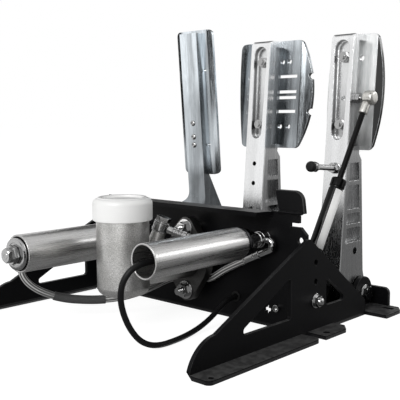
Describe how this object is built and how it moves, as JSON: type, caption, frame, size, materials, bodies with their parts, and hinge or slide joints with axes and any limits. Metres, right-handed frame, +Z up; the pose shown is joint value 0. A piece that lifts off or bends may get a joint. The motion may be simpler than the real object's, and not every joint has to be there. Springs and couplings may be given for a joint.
{
  "type": "sim racing pedal set",
  "caption": "Racing simulator pedal set with throttle, hydraulic brake and gas-spring clutch on a black sheet-steel floor frame",
  "frame": {"origin": "on the floor, midway between the two rear foot slots", "axes": "+X towards the throttle, +Y away from the driver, +Z up"},
  "size_m": [0.362, 0.343, 0.3185],
  "materials": {
    "milled_aluminium": "bright milled",
    "bronze": "plain bronze",
    "zinc": "zinc plated",
    "braided_hose": "stainless braid under clear jacket",
    "pad_aluminium": "bright rolled",
    "dark_rubber": "matt black",
    "frame_black": "satin black powder coat",
    "rod_black": "nitrided black, polished",
    "gloss_black": "gloss black",
    "box_plastic": "black",
    "socket_nickel": "satin nickel",
    "cast_aluminium": "sand cast, unpainted",
    "piston_steel": "turned steel",
    "cap_plastic": "white satin",
    "black_fitting": "blackened steel",
    "cable_black": "satin black jacket",
    "tube_steel": "brushed stainless"
  },
  "bodies": {
    "frame": {"brake_hose_long": "braided_hose", "brake_hose_short": "braided_hose", "brake_pivot_bolt": "zinc", "cable_grommet": "dark_rubber", "clutch_pivot_bolt": "zinc", "cross_panel": "frame_black", "flange_spacer_lower": "zinc", "flange_spacer_upper": "zinc", "flange_stud_lower": "zinc", "flange_stud_upper": "zinc", "hose_sleeve": "dark_rubber", "junction_box": "box_plastic", "lower_ball_stud": "zinc", "master_cylinder": "cast_aluminium", "outlet_banjo": "zinc", "outlet_bolt": "zinc", "panel_bolts": "zinc", "pressure_sensor": "piston_steel", "rear_member": "frame_black", "sensor_adapter": "black_fitting", "sensor_banjo": "zinc", "sensor_cable": "cable_black", "sensor_tee": "zinc", "sensor_tube": "tube_steel", "side_plate_clutch": "frame_black", "side_plate_throttle": "frame_black", "slave_adapter": "black_fitting", "slave_body": "zinc", "slave_guide": "dark_rubber", "slave_tube": "tube_steel", "slave_washer": "zinc", "stop_tab": "frame_black", "throttle_pivot_bolt": "zinc"},
    "throttle": {"throttle_arm": "milled_aluminium", "throttle_bush": "bronze", "throttle_plate": "pad_aluminium", "throttle_screws": "zinc"},
    "brake": {"brake_arm": "milled_aluminium", "brake_bush": "bronze", "brake_pad": "pad_aluminium", "brake_pad_bolts": "zinc", "brake_link_pin": "zinc", "brake_front_bolt": "zinc"},
    "clutch": {"clutch_arm": "milled_aluminium", "clutch_bush": "bronze", "clutch_pad": "pad_aluminium", "clutch_pad_bolts": "zinc", "clutch_stop_screw": "zinc", "clutch_stop_bumper": "dark_rubber", "upper_ball_stud": "zinc"},
    "gas_cylinder": {"gas_tube": "gloss_black", "lower_socket": "socket_nickel"},
    "gas_piston_rod": {"gas_rod": "rod_black", "upper_socket": "socket_nickel"},
    "pushrod": {"brake_pushrod": "zinc"},
    "piston": {"master_piston": "piston_steel"},
    "slave_shaft": {"slave_rod": "zinc", "slave_nuts": "zinc"},
    "cap": {"reservoir_cap": "cap_plastic"}
  },
  "joints": [
    {"name": "throttle_hinge", "type": "hinge", "parent": "frame", "child": "throttle", "pos_m": [0.08325, 0.005, 0.0185], "axis": [-1, 0, 0], "range_deg": [0, 16], "stiffness_Nm_per_rad": 8, "springref_deg": -14.32},
    {"name": "brake_hinge", "type": "hinge", "parent": "frame", "child": "brake", "pos_m": [-0.01, 0.005, 0.0185], "axis": [-1, 0, 0], "range_deg": [0, 8], "stiffness_Nm_per_rad": 60, "springref_deg": -2.86},
    {"name": "clutch_hinge", "type": "hinge", "parent": "frame", "child": "clutch", "pos_m": [-0.12075, 0.005, 0.0185], "axis": [-1, 0, 0], "range_deg": [0, 18], "stiffness_Nm_per_rad": 12, "springref_deg": -14.32},
    {"name": "gas_cylinder_hinge", "type": "hinge", "parent": "frame", "child": "gas_cylinder", "pos_m": [-0.134, 0.1215, 0.0326], "axis": [-1, 0, 0], "range_deg": [0, 15.73]},
    {"name": "gas_rod_slide", "type": "slide", "parent": "gas_cylinder", "child": "gas_piston_rod", "axis": [0.0623, 0.4598, -0.8858], "range_m": [0, 0.03584]},
    {"name": "pushrod_hinge", "type": "hinge", "parent": "brake", "child": "pushrod", "pos_m": [-0.01, 0.022, 0.0606], "axis": [1, 0, 0], "range_deg": [0, 9.46]},
    {"name": "piston_slide", "type": "slide", "parent": "frame", "child": "piston", "axis": [0, 1, 0], "range_m": [0, 0.00586]},
    {"name": "slave_shaft_slide", "type": "slide", "parent": "frame", "child": "slave_shaft", "axis": [0, 1, 0], "range_m": [0, 0.004]},
    {"name": "cap_turn", "type": "hinge", "parent": "frame", "child": "cap", "pos_m": [-0.01, 0.243, 0.1123], "axis": [0, 0, 1], "continuous": true}
  ],
  "couplings": [
    {"joint": "gas_cylinder_hinge", "follows": "clutch_hinge", "ratio": 0.8628},
    {"joint": "gas_rod_slide", "follows": "clutch_hinge", "m_per_rad": 0.11313},
    {"joint": "pushrod_hinge", "follows": "brake_hinge", "ratio": 1.1699},
    {"joint": "piston_slide", "follows": "brake_hinge", "m_per_rad": 0.040543},
    {"joint": "slave_shaft_slide", "follows": "brake_hinge", "m_per_rad": 0.027932}
  ]
}
